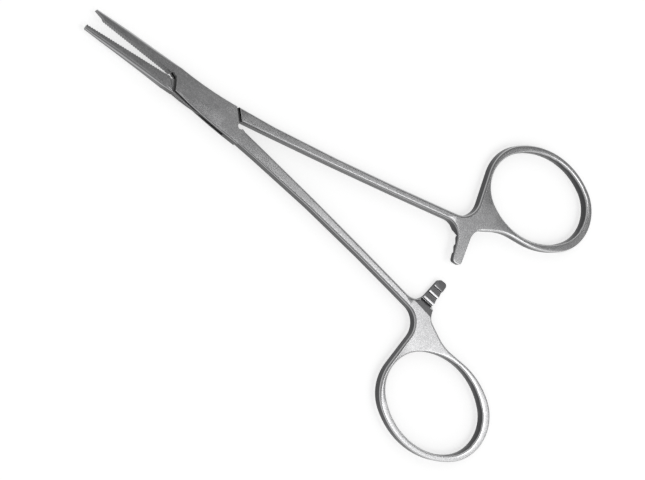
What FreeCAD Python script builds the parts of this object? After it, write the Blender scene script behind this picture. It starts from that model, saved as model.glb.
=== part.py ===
import FreeCAD, Part

import math
import os

os.makedirs("parts", exist_ok=True)

Vector = FreeCAD.Vector

# Straight haemostatic forceps of the slim pattern, about 125 mm long when shut.
# Three pieces: a box half whose joint is slotted, a tenon half that passes
# through the slot, and the pin that joins them. X runs from the jaws to the
# finger rings, Z is up through the thickness, and the origin is the pin's axis
# at the underside of the box joint.

# Stock
thickness = 2.8
edge_radius_at_box = 0.34
edge_radius_at_ring = 0.62

# Pose: angle between the jaw faces as the instrument lies half open
jaw_opening_deg = 5.5

# Box joint
pin_radius = 1.0
pin_running_gap = 0.03
plate_thickness = 0.85
tenon_side_gap = 0.05
shoulder_chamfer = 0.22
relief_radius = 0.72
relief_centre = (9.02, 0.04)

# Plan points of the box in the shut pose, jaws at -X, slot open on the -Y side
box_near_front = (-6.78, -2.60)
box_near_middle = (0.0, -3.28)
box_near_back = (10.4, -3.62)
box_far_back = (6.05, 3.05)
box_far_middle = (0.0, 2.36)
box_back_outer = (6.10, 2.72)
box_back_inner = (8.05, 0.18)
box_step_inner = (-8.06, -0.25)
notch_outline = ((-9.55, -0.6), (-9.55, 0.0), (-9.25, 0.32), box_step_inner, (-8.06, -0.6))
slot_outline = (
    (-5.6, 3.4), (-9.25, 0.32), (-9.55, 0.0), (-9.55, -4.2),
    (6.6, -4.2), (8.8, -0.3), (9.4, 0.3), (12.0, 4.6),
)

# Plan points of the tenon half round the box in the shut pose
shoulder_inner = (-9.35, 0.02)
shoulder_outer = (-7.02, -2.70)
back_shoulder_outer = (6.90, 2.40)
back_shoulder_inner = (8.65, 0.09)
tenon_near_middle = (-2.6, -3.18)
tenon_near_back = (2.6, -3.10)
tenon_far_middle = (-1.8, 2.1)
tongue_in_shank = ((9.65, 0.5), (8.90, 2.3), (6.90, 2.25))
tongue_in_jaw = ((-8.85, 0.0), (-10.15, -0.4), (-8.22, -2.0))

# Jaws: the corner radii belong to six stations from the tip back to the box
jaw_length = 29.2
jaw_middle = 21.0
box_front = 8.6
jaw_front_of_box = 1.0
jaw_overlap = 0.4
lower_jaw_back = 6.0
upper_jaw_root_width = 2.13
lower_jaw_root_width = 2.62
upper_jaw_middle_width = 1.82
lower_jaw_middle_width = 1.72
upper_jaw_tip_width = 1.2
lower_jaw_tip_width = 1.05
jaw_side_swell = 0.03
jaw_tip_thickness = 1.3
jaw_corner_radii = (0.58, 0.80, 0.92, 0.90, 0.55, edge_radius_at_box)
tip_corner_radius = 0.38
nose_length = 2.6
nose_step = 0.42
nose_ramp = 0.7
nose_tip_thickness = 0.42
serration_pitch = 0.56
serration_depth = 0.14
serration_root = 10.4

# Shanks: the inner edge of a shank is an arc through three points
shank_root = 5.5
shank_root_inner = -0.27
shank_bow = 30.0
shank_bow_inner = 2.62
shank_end = 58.0
shank_end_inner = 6.42
shank_end_width = 1.95
shank_stations = (0.0, 0.2, 0.5, 0.8, 1.0)
full_radius_share = 0.8

# Width of each shank, and how far it stands outward of that arc, at the stations
box_half_widths = (3.2, 2.72, 2.20, 2.00, shank_end_width)
box_half_offsets = (0.16, 0.12, 0.03, 0.0, 0.0)
tenon_half_widths = (2.72, 2.14, 1.90, 1.90, shank_end_width)
tenon_half_offsets = (0.0, 0.0, 0.0, 0.0, 0.0)

# Finger rings
ring_centre_x = 81.3
ring_centre_y = 23.48
ring_opening_length = 27.3
ring_opening_width = 20.5
ring_opening_end_radius = 8.35
ring_outside_end_radius = 10.0
ring_outside_turn_deg = 0.6
ring_opening_turn_deg = 5.4
ring_opening_chamfer = 0.42
ring_wall_side = 1.4
ring_wall_near = 1.15
ring_wall_far = 1.85
ring_outside_shift = 0.12

# Junction of shank, ring and ratchet bar
limb_angle_deg = 97.5
crook_radius = 4.6
web_angle_deg = 2.8
web_bend_back = 4.9
web_bend_radius = 12.0
web_root_angle_deg = 27.0
web_corner_radius = 3.3
bar_corner_radius = 4.1

# Ratchet: bars that lean toward the rings, saw teeth between their tip and a ramp
bar_tip_x = 68.7
bar_tip_width = 2.35
bar_box_side_taper_deg = 2.2
bar_ring_side_taper_deg = 5.0
bar_lean_deg = 10.0
bar_reach = 0.85
bar_tip_radius = 0.8
bar_gap = 0.10
bar_edge_radius = 0.22
tooth_count = 3
tooth_pitch = 1.9
tooth_height = 0.5
tooth_crest = 0.14
tooth_bevel = 0.32
tooth_bevel_drop = 0.1
tooth_rake = 0.12
tip_land = 2.05
tooth_skew_deg = 4.0
step_distance = 7.2
step_ramp = 2.0

# Cutting shapes stand this far beyond what they cut
clear = 1.0

middle = thickness / 2.0
half_opening = jaw_opening_deg / 2.0


def polygon_face(points, z=0.0):
    """Flat face through plan points at height z."""
    corners = [Vector(x, y, z) for x, y in points]
    return Part.Face(Part.makePolygon(corners + corners[:1]))


def prism(points, low, high):
    """Upright prism on a plan outline of straight edges."""
    return polygon_face(points, low).extrude(Vector(0, 0, high - low))


def blend_corner(before, corner, after, radius):
    """Ends and middle of the arc that rounds a plan corner."""
    to_before = (before - corner).normalize()
    to_after = (after - corner).normalize()
    half_angle = to_before.getAngle(to_after) / 2.0
    setback = radius / math.tan(half_angle)
    to_centre = (to_before + to_after).normalize()
    centre = corner + to_centre * (radius / math.sin(half_angle))
    return corner + to_before * setback, centre - to_centre * radius, corner + to_after * setback


def meet(p, p_angle, q, q_angle):
    """Point where two plan lines cross, each given by a point and an angle in degrees."""
    a = Vector(math.cos(math.radians(p_angle)), math.sin(math.radians(p_angle)), 0)
    b = Vector(math.cos(math.radians(q_angle)), math.sin(math.radians(q_angle)), 0)
    cross = a.x * b.y - a.y * b.x
    gap = q - p
    return p + a * ((gap.x * b.y - gap.y * b.x) / cross)


# Shank

inner_edge = Part.Arc(
    Vector(shank_root, shank_root_inner, 0),
    Vector(shank_bow, shank_bow_inner, 0),
    Vector(shank_end, shank_end_inner, 0),
).toShape()


def rounded_loop(corners, radius):
    """Closed wire through four corners with equal rounded corners."""
    count = len(corners)
    arcs = [
        blend_corner(corners[i - 1], corners[i], corners[(i + 1) % count], radius)
        for i in range(count)
    ]
    edges = []
    for i, (start, mid, end) in enumerate(arcs):
        edges.append(Part.Arc(start, mid, end).toShape())
        edges.append(Part.makeLine(end, arcs[(i + 1) % count][0]))
    return Part.Wire(edges)


def shank_section(share, offset, width, radius):
    """Rounded rectangle across the shank at a share of its length."""
    at = inner_edge.FirstParameter + share * (inner_edge.LastParameter - inner_edge.FirstParameter)
    along = inner_edge.tangentAt(at)
    across = Vector(-along.y, along.x, 0)
    foot = inner_edge.valueAt(at) + across * offset
    up = Vector(0, 0, thickness)
    corners = [foot, foot + across * width, foot + across * width + up, foot + up]
    return rounded_loop(corners, radius)


def shank(offsets, widths):
    """Tapering shank from the box to the junction, its long edges rounder toward the ring."""
    grown = edge_radius_at_ring - edge_radius_at_box
    sections = [
        shank_section(share, offset, width, edge_radius_at_box + grown * min(1.0, share / full_radius_share))
        for share, offset, width in zip(shank_stations, offsets, widths)
    ]
    return Part.makeLoft(sections, True, True)


# Ring, junction and ratchet bar, drawn for the ring on the +Y side

class Oval:
    """Closed curve of four tangent arcs: two round the ends and two flatter ones along the sides."""

    def __init__(self, centre, turn_deg, length, width, end_radius):
        half_length = length / 2.0
        half_width = width / 2.0
        turn = math.radians(turn_deg)
        self.centre = centre
        self.along = Vector(math.cos(turn), math.sin(turn), 0)
        self.across = Vector(-self.along.y, self.along.x, 0)
        self.end_radius = end_radius
        self.side_radius = ((half_length ** 2 - 2.0 * half_length * end_radius + half_width ** 2)
                            / (2.0 * (half_width - end_radius)))
        self.end_offset = half_length - end_radius
        self.side_offset = self.side_radius - half_width
        self.join_angle = math.degrees(math.atan2(self.side_offset, self.end_offset))

    def point(self, angle):
        """Point whose outward normal stands at an angle in degrees to the oval's long axis."""
        turn = math.radians(angle)
        outward = self.along * math.cos(turn) + self.across * math.sin(turn)
        if abs(math.cos(turn)) >= math.cos(math.radians(self.join_angle)):
            side = math.copysign(1.0, math.cos(turn))
            return self.centre + self.along * (side * self.end_offset) + outward * self.end_radius
        side = math.copysign(1.0, math.sin(turn))
        return self.centre - self.across * (side * self.side_offset) + outward * self.side_radius

    def arcs(self, first, last):
        """Arcs that follow the oval anticlockwise between two normal angles."""
        join = self.join_angle
        corners = (join, 180.0 - join, 180.0 + join, 360.0 - join)
        joins = [turns * 360.0 + a for turns in (-1, 0, 1, 2) for a in corners]
        stops = [first] + [a for a in sorted(joins) if first + 1e-6 < a < last - 1e-6] + [last]
        return [
            Part.Arc(self.point(a), self.point((a + b) / 2.0), self.point(b)).toShape()
            for a, b in zip(stops, stops[1:])
        ]


opening_centre = Vector(ring_centre_x, ring_centre_y, 0)
outside_centre = opening_centre + Vector((ring_wall_far - ring_wall_near) / 2.0, ring_outside_shift, 0)
ring_opening = Oval(
    opening_centre, ring_opening_turn_deg, ring_opening_length, ring_opening_width, ring_opening_end_radius)
ring_outside = Oval(
    outside_centre, ring_outside_turn_deg, ring_opening_length + ring_wall_near + ring_wall_far,
    ring_opening_width + 2.0 * ring_wall_side, ring_outside_end_radius)


def ring_touch(angle_deg):
    """Normal angle on the ring's outside where an anticlockwise walk heads along an angle."""
    return angle_deg - 90.0 - ring_outside_turn_deg


def line(p, q):
    """Straight edge."""
    return Part.makeLine(p, q)


def arc(ends):
    """Arc edge through three points."""
    return Part.Arc(*ends).toShape()


def handle_outline():
    """Plan outline of ring, junction and bar as (edge, first radius, last radius) rows."""
    shank_end_along = inner_edge.tangentAt(inner_edge.LastParameter)
    shank_angle = math.degrees(math.atan2(shank_end_along.y, shank_end_along.x))
    start_in = inner_edge.valueAt(inner_edge.LastParameter)
    start_out = start_in + Vector(-shank_end_along.y, shank_end_along.x, 0) * shank_end_width

    web_at = ring_touch(web_angle_deg)
    limb_at = ring_touch(180.0 + limb_angle_deg)
    web_touch = ring_outside.point(web_at)
    limb_touch = ring_outside.point(limb_at)

    lean = 90.0 + bar_lean_deg
    tip_left = Vector(bar_tip_x - bar_tip_width / 2.0, -bar_reach, 0)
    tip_right = Vector(bar_tip_x + bar_tip_width / 2.0, -bar_reach, 0)
    crook = meet(start_out, shank_angle, limb_touch, limb_angle_deg)
    web_slope = math.tan(math.radians(web_angle_deg))
    bend_x = ring_centre_x - web_bend_back
    web_bend = Vector(bend_x, web_touch.y + (bend_x - web_touch.x) * web_slope, 0)
    web_corner = meet(web_bend, web_root_angle_deg, tip_right, lean - bar_ring_side_taper_deg)
    bar_corner = meet(start_in, shank_angle, tip_left, lean + bar_box_side_taper_deg)
    corners = [
        (start_out, crook, limb_touch, crook_radius),
        (web_touch, web_bend, web_corner, web_bend_radius),
        (web_bend, web_corner, tip_right, web_corner_radius),
        (web_corner, tip_right, tip_left, bar_tip_radius),
        (tip_right, tip_left, bar_corner, bar_tip_radius),
        (tip_left, bar_corner, start_in, bar_corner_radius),
    ]
    arcs = [blend_corner(*row) for row in corners]

    full = edge_radius_at_ring
    slight = bar_edge_radius
    crook_arc, bend_arc, web_arc, right_arc, left_arc, bar_arc = arcs
    return [
        (line(start_out, crook_arc[0]), full, full),
        (arc(crook_arc), full, full),
        (line(crook_arc[2], limb_touch), full, full),
        *[(edge, full, full) for edge in ring_outside.arcs(web_at, limb_at)],
        (line(web_touch, bend_arc[0]), full, full),
        (arc(bend_arc), full, full),
        (line(bend_arc[2], web_arc[0]), full, full),
        (arc(web_arc), full, slight),
        (line(web_arc[2], right_arc[0]), slight, slight),
        (arc(right_arc), slight, slight),
        (line(right_arc[2], left_arc[0]), slight, slight),
        (arc(left_arc), slight, slight),
        (line(left_arc[2], bar_arc[0]), slight, slight),
        (arc(bar_arc), slight, full),
        (line(bar_arc[2], start_in), full, full),
        (line(start_in, start_out), 0.0, 0.0),
    ]


def level_edges(solid, outline):
    """Numbers of a solid's level edges that follow an outline, each with the outline edge it follows."""
    found = []
    for number, edge in enumerate(solid.Edges, 1):
        start = edge.valueAt(edge.FirstParameter)
        half = edge.valueAt((edge.FirstParameter + edge.LastParameter) / 2.0)
        if abs(start.z - half.z) > 1e-6:
            continue
        for drawn in outline:
            near = drawn.valueAt((drawn.FirstParameter + drawn.LastParameter) / 2.0)
            if math.hypot(near.x - half.x, near.y - half.y) < 1e-3:
                found.append((number, edge, drawn))
    return found


def soften(solid, rows):
    """Round the level edges of an upright solid, each by the first and last radius of its outline row."""
    radii = {id(row[0]): row[1:] for row in rows}
    wanted = []
    for number, edge, drawn in level_edges(solid, [row[0] for row in rows if row[1] > 0.0]):
        first, last = radii[id(drawn)]
        start = edge.valueAt(edge.FirstParameter)
        drawn_start = drawn.valueAt(drawn.FirstParameter)
        if math.hypot(drawn_start.x - start.x, drawn_start.y - start.y) > 1e-3:
            first, last = last, first
        wanted.append((number, first, last))
    document = FreeCAD.newDocument("softening")
    blank = document.addObject("Part::Feature", "blank")
    blank.Shape = solid
    rounded = document.addObject("Part::Fillet", "rounded")
    rounded.Base = blank
    rounded.Edges = wanted
    document.recompute()
    shape = rounded.Shape.copy()
    FreeCAD.closeDocument(document.Name)
    return shape


def ease(solid, rim, size):
    """Bevel the level edges of an opening."""
    return solid.makeChamfer(size, [edge for number, edge, drawn in level_edges(solid, rim)])


def tooth_gap():
    """Space under the bar: saw teeth from its tip land and a ramp up to the junction.

    Each tooth rises slowly on the tip side and drops steeply on the junction side,
    so that it holds the matching tooth of the other bar. A bevel breaks its crest.
    """
    crest = middle + bar_gap / 2.0
    gullet = crest + tooth_height
    tip_side = -bar_reach - clear
    below = -clear
    profile = [(tip_side, crest)]
    drops = [tip_land - bar_reach + i * tooth_pitch for i in range(tooth_count)]
    for drop in drops:
        edge = drop - tooth_bevel
        if drop > drops[0]:
            profile.append((edge - tooth_crest, crest))
        profile += [(edge, crest), (drop, crest + tooth_bevel_drop), (drop + tooth_rake, gullet)]
    profile += [(step_distance - step_ramp, gullet), (step_distance, below), (tip_side, below)]
    reach = 2.0 * bar_tip_width
    skew = reach * math.tan(math.radians(tooth_skew_deg))
    corners = [Vector(bar_tip_x - reach, y - skew, z) for y, z in profile]
    face = Part.Face(Part.makePolygon(corners + corners[:1]))
    return face.extrude(Vector(2.0 * reach, 2.0 * skew, 0))


def handle(offsets, widths):
    """Shank, finger ring and ratchet bar of one half, ring on the +Y side, bar uppermost."""
    rows = handle_outline()
    outline = Part.Wire(Part.__sortEdges__([row[0] for row in rows]))
    plate = Part.Face(outline).extrude(Vector(0, 0, thickness))
    plate = soften(plate, rows).cut(tooth_gap()).fuse(shank(offsets, widths))
    rim = ring_opening.arcs(0.0, 360.0)
    opening = Part.Face(Part.Wire(rim)).extrude(Vector(0, 0, thickness))
    return ease(plate.cut(opening), rim, ring_opening_chamfer)


# Jaws, drawn for the jaw on the -Y side, its gripping face on the plane y = 0

def jaw_section(x, width, height, radius):
    """D-shaped section: flat gripping face, flat top near it, rounded outer corners."""
    low = middle - height / 2.0
    high = middle + height / 2.0
    face_low = Vector(x, 0, low)
    face_high = Vector(x, 0, high)
    outer_high = Vector(x, -width, high)
    outer_low = Vector(x, -width, low)
    top = blend_corner(face_high, outer_high, outer_low, radius)
    bottom = blend_corner(outer_high, outer_low, face_low, radius)
    return Part.Wire([
        Part.makeLine(face_low, face_high),
        Part.makeLine(face_high, top[0]),
        Part.Arc(*top).toShape(),
        Part.makeLine(top[2], bottom[0]),
        Part.Arc(*bottom).toShape(),
        Part.makeLine(bottom[2], face_low),
    ])


def jaw_height(x):
    """Jaw thickness falls evenly from the box to the tip."""
    share = (x + jaw_length) / (jaw_length - box_front - jaw_front_of_box)
    return jaw_tip_thickness + (thickness - jaw_tip_thickness) * min(1.0, share)


def tip_corner(tip_width, side_station, side_width):
    """Space outside the rounded outer corner of a jaw's tip."""
    side = Vector(-side_station, -side_width, 0)
    corner = Vector(-jaw_length, -tip_width, 0)
    start, mid, end = blend_corner(side, corner, Vector(-jaw_length, 0, 0), tip_corner_radius)
    below = start - Vector(0, clear, 0)
    outline = [line(start, below), line(below, corner - Vector(clear, clear, 0)),
               line(corner - Vector(clear, clear, 0), end - Vector(clear, 0, 0)),
               line(end - Vector(clear, 0, 0), end), arc((end, mid, start))]
    return Part.Face(Part.Wire(outline)).extrude(Vector(0, 0, thickness))


def jaw_bar(back, root_width, middle_width, tip_width):
    """Solid jaw from the tip back to a station x, before its gripping face is cut."""
    front_middle = (jaw_length + jaw_middle) / 2.0
    front_width = (tip_width + middle_width) / 2.0 + jaw_side_swell
    back_middle = (jaw_middle + box_front) / 2.0
    back_width = (middle_width + root_width) / 2.0 + jaw_side_swell
    stations = (-jaw_length, -front_middle, -jaw_middle, -back_middle, -box_front - jaw_front_of_box, back)
    widths = (tip_width, front_width, middle_width, back_width, root_width - jaw_side_swell, root_width)
    sections = [
        jaw_section(x, width, jaw_height(x), radius)
        for x, width, radius in zip(stations, widths, jaw_corner_radii)
    ]
    return Part.makeLoft(sections, True, True).cut(tip_corner(tip_width, front_middle, front_width))


def serrations(first):
    """Row of V grooves across a gripping face, as one comb to cut away."""
    half_pitch = serration_pitch / 2.0
    points = [(-jaw_length - clear, clear), (-jaw_length - clear, 0.0)]
    x = -jaw_length + first
    while x < -serration_root:
        points += [(x - half_pitch, 0.0), (x, -serration_depth)]
        x += serration_pitch
    points += [(x - half_pitch, 0.0), (x, clear)]
    return prism(points, -clear, thickness + clear)


def nose_relief():
    """Step and taper that thin the last of the upper jaw from its gripping side."""
    start = nose_length - jaw_length
    beyond_tip = -jaw_length - clear
    points = [(start, clear), (start, 0.0), (start - nose_ramp, -nose_step),
              (-jaw_length, nose_tip_thickness - upper_jaw_tip_width),
              (beyond_tip, nose_tip_thickness - upper_jaw_tip_width), (beyond_tip, clear)]
    return prism(points, -clear, thickness + clear)


# Box joint

plate_low = plate_thickness
plate_high = thickness - plate_thickness
tenon_low = plate_low + tenon_side_gap
tenon_high = plate_high - tenon_side_gap


def chain(points):
    """Straight plan edges through points."""
    return [line(Vector(*p, 0), Vector(*q, 0)) for p, q in zip(points, points[1:])]


def plate_from(edges, low, high):
    """Flat plate between two heights on a plan outline of edges."""
    plate = Part.Face(Part.Wire(Part.__sortEdges__(edges))).extrude(Vector(0, 0, high - low))
    plate.translate(Vector(0, 0, low))
    return plate


def box_block():
    """Body of the box joint before its slot is cut: jaw side +Y in front, shank side -Y behind."""
    front_far = (-box_front, upper_jaw_root_width)
    near_edge = arc([Vector(*p, 0) for p in (box_near_front, box_near_middle, box_near_back)])
    far_edge = arc([Vector(*p, 0) for p in (box_far_back, box_far_middle, front_far)])
    in_shank = (box_near_back[0], -0.5)
    in_jaw = (-box_front, 0.4)
    back = chain([box_near_back, in_shank, box_back_inner, box_back_outer, box_far_back])
    front = chain([front_far, in_jaw, box_step_inner, box_near_front])
    block = plate_from([near_edge, far_edge] + back + front, 0.0, thickness)
    radius = edge_radius_at_box
    return soften(block, [(edge, radius, radius) for edge in (near_edge, far_edge)])


def box_half():
    """Half with the slotted box: upper jaw in the shut pose, ring on the -Y side."""
    jaw = jaw_bar(
        jaw_overlap - box_front, upper_jaw_root_width, upper_jaw_middle_width, upper_jaw_tip_width)
    jaw = jaw.cut(serrations(serration_pitch / 4.0)).cut(nose_relief())
    turned = jaw.fuse(handle(box_half_offsets, box_half_widths))
    turned.rotate(Vector(0, 0, middle), Vector(1, 0, 0), 180)
    body = turned.fuse(box_block())
    notch = prism(notch_outline, -clear, thickness + clear)
    slot = prism(slot_outline, plate_low, plate_high)
    relief = Part.makeCylinder(relief_radius, thickness, Vector(*relief_centre, 0))
    bore = Part.makeCylinder(pin_radius, thickness)
    return body.cut(notch).cut(slot).cut(relief).cut(bore)


def shoulder_cutter(p, q):
    """Space left of the walk from p to q, with a slope that bevels both level edges of the wall."""
    span = Vector(q[0] - p[0], q[1] - p[1], 0)
    along = Vector(span).normalize()
    leftward = Vector(-along.y, along.x, 0)
    run_out = 3.0 * clear
    start = Vector(p[0], p[1], 0) - along * run_out
    lip = -shoulder_chamfer - clear
    wide = 9.0 * clear
    profile = [
        (0.0, shoulder_chamfer), (0.0, thickness - shoulder_chamfer), (lip, thickness + clear),
        (wide, thickness + clear), (wide, -clear), (lip, -clear),
    ]
    corners = [start + leftward * s + Vector(0, 0, z) for s, z in profile]
    return Part.Face(Part.makePolygon(corners + corners[:1])).extrude(along * (span.Length + 2.0 * run_out))


def tenon_half():
    """Half with the tenon: lower jaw in the shut pose, ring on the +Y side."""
    jaw = jaw_bar(-lower_jaw_back, lower_jaw_root_width, lower_jaw_middle_width, lower_jaw_tip_width)
    jaw = jaw.cut(serrations(3.0 * serration_pitch / 4.0))
    jaw = jaw.cut(shoulder_cutter(shoulder_inner, shoulder_outer))
    rear = handle(tenon_half_offsets, tenon_half_widths)
    rear = rear.cut(shoulder_cutter(back_shoulder_inner, back_shoulder_outer))
    near_edge = arc([Vector(*p, 0) for p in (shoulder_outer, tenon_near_middle, tenon_near_back)])
    rest = chain([tenon_near_back, back_shoulder_inner, *tongue_in_shank,
                  tenon_far_middle, *tongue_in_jaw, shoulder_outer])
    tongue = plate_from([near_edge] + rest, tenon_low, tenon_high)
    bore = Part.makeCylinder(pin_radius + pin_running_gap, thickness)
    return jaw.fuse(tongue).fuse(rear).cut(bore)


def pivot_pin():
    """Plain riveted pin, ground flush with both faces of the box."""
    return Part.makeCylinder(pin_radius, thickness)


def place(shape, turn_deg):
    """Turn a half about the pin from the shut pose to the pose it lies in."""
    turned = shape.copy()
    turned.rotate(Vector(0, 0, 0), Vector(0, 0, 1), turn_deg)
    return turned


pieces = {
    "box_half": place(box_half(), -half_opening),
    "tenon_half": place(tenon_half(), half_opening),
    "pivot_pin": pivot_pin(),
}
for name, shape in pieces.items():
    solid = shape.Solids[0] if len(shape.Solids) == 1 else shape
    print(name, "solids", len(shape.Solids), "valid", shape.isValid(), "volume", round(shape.Volume, 2))
    solid.exportStep(os.path.join("parts", name + ".step"))
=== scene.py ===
import math

import bmesh
import bpy
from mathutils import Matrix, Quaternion, Vector


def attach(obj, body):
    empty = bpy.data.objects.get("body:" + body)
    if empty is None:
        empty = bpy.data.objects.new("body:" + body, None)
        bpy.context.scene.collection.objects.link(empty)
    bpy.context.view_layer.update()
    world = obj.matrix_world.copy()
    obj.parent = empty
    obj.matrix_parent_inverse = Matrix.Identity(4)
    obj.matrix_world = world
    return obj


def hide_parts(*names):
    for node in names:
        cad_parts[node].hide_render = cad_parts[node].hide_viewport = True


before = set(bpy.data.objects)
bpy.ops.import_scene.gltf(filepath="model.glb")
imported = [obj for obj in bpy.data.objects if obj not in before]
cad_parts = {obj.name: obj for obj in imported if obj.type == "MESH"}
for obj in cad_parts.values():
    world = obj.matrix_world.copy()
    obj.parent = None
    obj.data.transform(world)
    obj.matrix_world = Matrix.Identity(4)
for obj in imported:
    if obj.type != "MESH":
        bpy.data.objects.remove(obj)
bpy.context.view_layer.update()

# Box half: a stainless steel forging with the upper jaw, both plates of the box joint,
# a shank and a ring. It is ground flat and blasted to a satin finish. Its edges are
# polished, with a painted highlight on the rings' edges. Its side walls are painted dark
# as shade, and its ratchet bar has painted shade outside the stretch of its crests.


class Sock:
    """One output of a material's nodes, usable in Python sums."""

    def __init__(self, tree, out=None):
        self.tree = tree
        self.out = out

    def node(self, kind, sockets=None, output=0, **settings):
        """Add a node: its settings first, then the values and links of its sockets."""
        made = self.tree.nodes.new(kind)
        for name, value in settings.items():
            setattr(made, name, value)
        for name, value in (sockets or {}).items():
            if isinstance(value, Sock):
                self.tree.links.new(value.out, made.inputs[name])
            else:
                made.inputs[name].default_value = value
        return Sock(self.tree, made.outputs[output] if made.outputs else None)

    def maths(self, operation, first, second=0.0):
        return self.node("ShaderNodeMath", {0: first, 1: second}, operation=operation)

    def between(self, low, high):
        """Smooth rise from 0 to 1 as this value passes from low to high."""
        return self.node("ShaderNodeMapRange", {
            "Value": self, "From Min": low, "From Max": high}, interpolation_type="SMOOTHSTEP")

    def blended(self, first, second):
        """Colour that passes from first to second as this value passes from 0 to 1."""
        return self.node("ShaderNodeMix", {
            0: self, 6: first, 7: second}, output=2, data_type="RGBA")

    def __add__(self, other):
        return self.maths("ADD", self, other)

    def __sub__(self, other):
        return self.maths("SUBTRACT", self, other)

    def __mul__(self, other):
        return self.maths("MULTIPLY", self, other)

    def __rsub__(self, other):
        return self.maths("SUBTRACT", other, self)

    __radd__ = __add__
    __rmul__ = __mul__


# Flats run from dull to bright; the edges of the rings are lighter still, a painted highlight.
steel_dull = (0.365, 0.365, 0.37, 1.0)
steel_bright = (0.505, 0.505, 0.51, 1.0)
steel_edge = (0.43, 0.43, 0.435, 1.0)
ring_edge_painted_highlight = (0.585, 0.585, 0.59, 1.0)
# Side walls are painted dark as shade: darkest in the box joint, less dark on the jaws.
side_wall_painted_shade = (0.055, 0.055, 0.057, 1.0)
jaw_wall_painted_shade = (0.15, 0.15, 0.153, 1.0)
joint_wall_painted_shade = (0.02, 0.02, 0.02, 1.0)
# The ratchet bar's flats outside the stretch of its crests are painted dark as shade.
bar_painted_shade = (0.10, 0.10, 0.102, 1.0)
steel_tooth = (0.36, 0.36, 0.365, 1.0)

# Stretches in metres over which a mask rises: from the pin along the instrument, and on
# the ratchet bar along its length and across it. The bar leans from straight across.
jaws_end = (-0.012, -0.007)
joint_end = (0.0085, 0.0105)
rings_start = (0.064, 0.071)
bar_cos, bar_sin = 0.217, 0.976
bar_root = (0.0037, 0.0039)
bar_front = (0.0641, 0.0646)
first_crest = (0.0056, 0.0058)
last_crest = (0.0104, 0.0106)

# The same for how level the surface lies: 0 on a side wall, 1 on a flat.
edge_to_flat = (0.90, 0.995)
side_to_edge = (0.12, 0.62)
ring_side_to_top = (0.74, 0.90)
ring_flatness = 4.0

# Polished edges are the smoothest; flats and side walls are rougher by so much.
edge_roughness = 0.17
flats_rougher_by = 0.09
sides_rougher_by = 0.16
satin_spread = (0.34, 0.66)


def satin_steel(name, grain_turn_deg, seed, paint_bar_shade=0.0):
    """Satin steel: faint grinding lines on the flats, side walls painted dark as shade, polished
    edges with a painted highlight on the rings.

    The tops of the rings shade as if ground flat nearly to their edges. With paint_bar_shade at 1,
    the ratchet bar is painted dark as shade outside the stretch of its crests.
    """
    material = bpy.data.materials.new(name)
    material.use_nodes = True
    material.node_tree.nodes.clear()
    steel = Sock(material.node_tree)

    place = steel.node("ShaderNodeTexCoord", output="Object")
    along = steel.node("ShaderNodeMapping", {
        "Vector": place, "Rotation": (0.0, 0.0, math.radians(-grain_turn_deg)),
        "Scale": (260.0, 5200.0, 5200.0)})
    grain = steel.node("ShaderNodeTexNoise", {
        "Vector": along, "W": seed, "Scale": 1.0, "Detail": 3.0,
        "Roughness": 0.6}, noise_dimensions="4D")
    cloud = steel.node("ShaderNodeTexNoise", {
        "Vector": place, "W": seed + 3.0, "Scale": 160.0, "Detail": 4.0,
        "Roughness": 0.55}, noise_dimensions="4D")
    speck = steel.node("ShaderNodeTexNoise", {
        "Vector": place, "W": seed + 7.0, "Scale": 2600.0,
        "Detail": 2.0}, noise_dimensions="4D")

    facing = steel.node("ShaderNodeTexCoord", output="Normal")
    tilt = steel.node("ShaderNodeSeparateXYZ", {"Vector": facing}, output="Z")
    level = steel.maths("ABSOLUTE", tilt)
    flat = level.between(*edge_to_flat)
    upward = level.between(*side_to_edge)

    x = steel.node("ShaderNodeSeparateXYZ", {"Vector": place}, output="X")
    y = steel.node("ShaderNodeSeparateXYZ", {"Vector": place}, output="Y")
    jaws = 1.0 - x.between(*jaws_end)
    joint = 1.0 - steel.maths("ABSOLUTE", x).between(*joint_end)
    rings = x.between(*rings_start)
    reach = x * bar_cos + y * bar_sin
    bar = reach.between(*bar_root) * (x * bar_sin - y * bar_cos).between(*bar_front) * paint_bar_shade
    crests = reach.between(*first_crest) * (1.0 - reach.between(*last_crest))

    tone = (cloud * 0.3 + grain * 0.2 + speck * 0.5).between(*satin_spread)
    satin = tone.blended(steel_dull, steel_bright)
    # The ratchet bar's flats outside its crests take painted shade.
    flats_and_bar_shade = (bar * (1.0 - crests)).blended(satin, bar_painted_shade)
    # Ring edges take a painted highlight.
    edge = bar.blended(rings.blended(steel_edge, ring_edge_painted_highlight), steel_tooth)
    upper_tone = flat.blended(edge, flats_and_bar_shade)
    # Side walls take painted shade, darkest at the joint and lighter on the jaws.
    wall_shade = jaws.blended(joint.blended(side_wall_painted_shade, joint_wall_painted_shade), jaw_wall_painted_shade)
    colour = upward.blended(wall_shade, upper_tone)
    roughness = (edge_roughness + flat * flats_rougher_by + (1.0 - upward) * sides_rougher_by
                 + (cloud - 0.5) * 0.08 + (grain - 0.5) * 0.04)

    outward = steel.node("ShaderNodeNewGeometry", output="Normal")
    lean = level.between(*ring_side_to_top) * rings * steel.maths("SIGN", tilt) * ring_flatness
    upright = steel.node("ShaderNodeCombineXYZ", {"Z": lean})
    flatter = steel.node("ShaderNodeVectorMath", {0: outward, 1: upright}, operation="ADD")
    top = steel.node("ShaderNodeVectorMath", {0: flatter}, operation="NORMALIZE")
    height = (grain * 0.15 + speck * 0.10) * flat * (1.0 - rings * 0.75)
    bump = steel.node("ShaderNodeBump", {
        "Height": height, "Normal": top, "Strength": 0.12, "Distance": 0.00002})

    shader = steel.node("ShaderNodeBsdfPrincipled", {
        "Base Color": colour, "Metallic": 1.0, "Roughness": roughness, "Normal": bump})
    steel.node("ShaderNodeOutputMaterial", {"Surface": shader})
    return material


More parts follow.
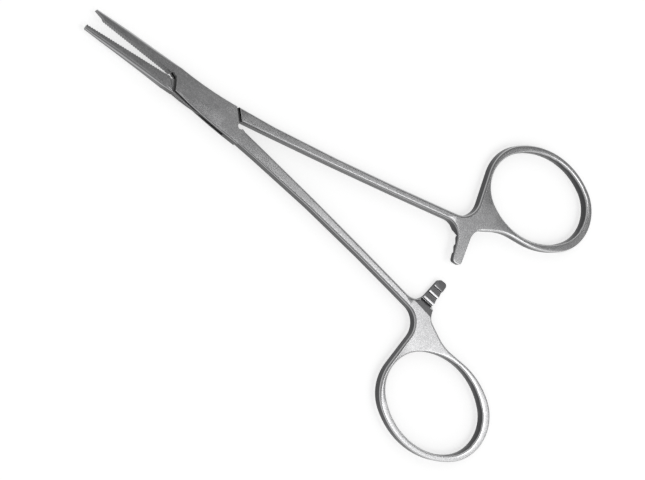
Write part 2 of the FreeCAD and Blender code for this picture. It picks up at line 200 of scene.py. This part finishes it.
def finished(node, piece_name, material, smooth_deg=52.0):
    """Merged copy of a CAD node with smooth blends and crisp corners, standing for the node."""
    form = bmesh.new()
    form.from_mesh(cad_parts[node].data)
    bmesh.ops.remove_doubles(form, verts=form.verts[:], dist=1e-6)
    for face in form.faces:
        face.smooth = True
        face.material_index = 0
    for edge in form.edges:
        edge.smooth = edge.calc_face_angle(math.pi) < math.radians(smooth_deg)
    mesh = bpy.data.meshes.new(piece_name)
    form.to_mesh(mesh)
    form.free()
    mesh.materials.append(material)
    piece = bpy.data.objects.new(piece_name, mesh)
    bpy.context.scene.collection.objects.link(piece)
    even = piece.modifiers.new("even_normals", "WEIGHTED_NORMAL")
    even.keep_sharp = True
    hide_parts(node)
    return piece


box_steel = satin_steel("box_half_steel", grain_turn_deg=-7.0, seed=1.0, paint_bar_shade=1.0)
box_half = finished("box_half", "box_half_finished", box_steel)
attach(box_half, "box_body")

# Tenon half: the matching forging, with the lower jaw, the tenon that passes through
# the box, a shank and a ring. It has the same finish with the same painted wall shade and ring
# highlight, and its teeth face down.

tenon_steel = satin_steel("tenon_half_steel", grain_turn_deg=7.0, seed=5.0)
tenon_half = finished("tenon_half", "tenon_half_finished", tenon_steel)
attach(tenon_half, "tenon_body")

# Pivot pin: a rivet of the same steel, peened in both plates, then ground and
# blasted together with the box half, so that it can hardly be seen.

pivot_pin = finished("pivot_pin", "pivot_pin_finished", box_steel)
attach(pivot_pin, "box_body")

# Table top: a seamless white sheet of paper that the instrument lies on. It shows
# white to the camera and to the steel that mirrors it, and keeps a faint contact shadow.


def looked_at(tree):
    """1 for rays of the camera, off gloss and through glass, and 0 for those that light a thing."""
    return (tree.node("ShaderNodeLightPath", output="Is Camera Ray")
            + tree.node("ShaderNodeLightPath", output="Is Glossy Ray")
            + tree.node("ShaderNodeLightPath", output="Is Transmission Ray"))


table_colour = (0.86, 0.86, 0.86, 1.0)
plain_white = (1.0, 1.0, 1.0, 1.0)
white_lift = 0.56
table_reach = 3.0
table_mesh = bpy.data.meshes.new("table_top")
sheet = bmesh.new()
bmesh.ops.create_grid(sheet, x_segments=1, y_segments=1, size=table_reach)
sheet.to_mesh(table_mesh)
sheet.free()
white = bpy.data.materials.new("white_sheet")
white.use_nodes = True
white.node_tree.nodes.clear()
paper = Sock(white.node_tree)
matte = paper.node("ShaderNodeBsdfDiffuse", {"Color": table_colour})
lift = paper.node("ShaderNodeEmission", {
    "Color": plain_white, "Strength": looked_at(paper) * white_lift})
sheet_surface = paper.node("ShaderNodeAddShader", {0: matte, 1: lift})
paper.node("ShaderNodeOutputMaterial", {"Surface": sheet_surface})
table_mesh.materials.append(white)
table = bpy.data.objects.new("table_top", table_mesh)
bpy.context.scene.collection.objects.link(table)

# Studio: a room with a dim ceiling and a white backdrop around the table that the steel
# mirrors too. A broad soft panel with a bright core hangs beyond the rings, and a
# weaker one fills from behind the camera.

ceiling_glow = 0.27
wall_glow = 0.48
wall_to_ceiling = (0.50, 0.86)
backdrop_to_wall = (0.20, 0.36)
world = bpy.data.worlds.new("room")
world.use_nodes = True
world.node_tree.nodes.clear()
room = Sock(world.node_tree)
toward = room.node("ShaderNodeTexCoord", output="Generated")
high = room.node("ShaderNodeSeparateXYZ", {"Vector": toward}, output="Z")
glow = wall_glow - high.between(*wall_to_ceiling) * (wall_glow - ceiling_glow)
backdrop = looked_at(room) * (1.0 - high.between(*backdrop_to_wall))
background = room.node("ShaderNodeBackground", {
    "Color": plain_white, "Strength": glow + backdrop * (1.0 - wall_glow)})
room.node("ShaderNodeOutputWorld", {"Surface": background})
bpy.context.scene.world = world

middle = Vector((0.038, 0.0, 0.0014))


def panel(name, azimuth_deg, elevation_deg, distance, width, height, glow):
    """Soft rectangular lamp of a given brightness that faces the instrument's middle."""
    lamp = bpy.data.lights.new(name, "AREA")
    lamp.shape = "RECTANGLE"
    lamp.size = width
    lamp.size_y = height
    lamp.energy = glow * math.pi * width * height
    turn, rise = math.radians(azimuth_deg), math.radians(elevation_deg)
    outward = Vector((
        math.cos(rise) * math.cos(turn), math.cos(rise) * math.sin(turn), math.sin(rise)))
    held = bpy.data.objects.new(name, lamp)
    held.location = middle + outward * distance
    held.rotation_mode = "QUATERNION"
    held.rotation_quaternion = (-outward).to_track_quat("-Z", "Y")
    bpy.context.scene.collection.objects.link(held)


panel("soft_panel", azimuth_deg=-16.0, elevation_deg=61.0, distance=1.0,
      width=0.74, height=0.40, glow=1.25)
panel("soft_panel_core", azimuth_deg=20.0, elevation_deg=66.0, distance=0.98,
      width=0.25, height=0.24, glow=2.2)
panel("fill_panel", azimuth_deg=215.0, elevation_deg=66.0, distance=1.1,
      width=0.9, height=0.7, glow=0.45)

# Camera: a long lens above the jaws' end on the box half's side, which looks down
# along the instrument to the rings, turned so that the jaws point up and left.

aim = Vector((0.03802, -0.01048, 0.00137))
camera_distance = 0.30035
camera_turn_deg = 36.73
camera_rise_deg = 64.62
camera_roll_deg = 85.0
turn, rise = math.radians(camera_turn_deg), math.radians(camera_rise_deg)
looking = Vector((
    math.cos(rise) * math.cos(turn), math.cos(rise) * math.sin(turn), -math.sin(rise)))
roll = Quaternion((0.0, 0.0, 1.0), math.radians(camera_roll_deg))
optics = bpy.data.cameras.new("camera")
optics.sensor_width = 36.0
optics.lens = 77.21
optics.clip_start = 0.01
camera = bpy.data.objects.new("camera", optics)
camera.location = aim - looking * camera_distance
camera.rotation_mode = "QUATERNION"
camera.rotation_quaternion = looking.to_track_quat("-Z", "Y") @ roll
bpy.context.scene.collection.objects.link(camera)
bpy.context.scene.camera = camera
bpy.context.scene.view_settings.view_transform = "Standard"

bpy.context.view_layer.update()
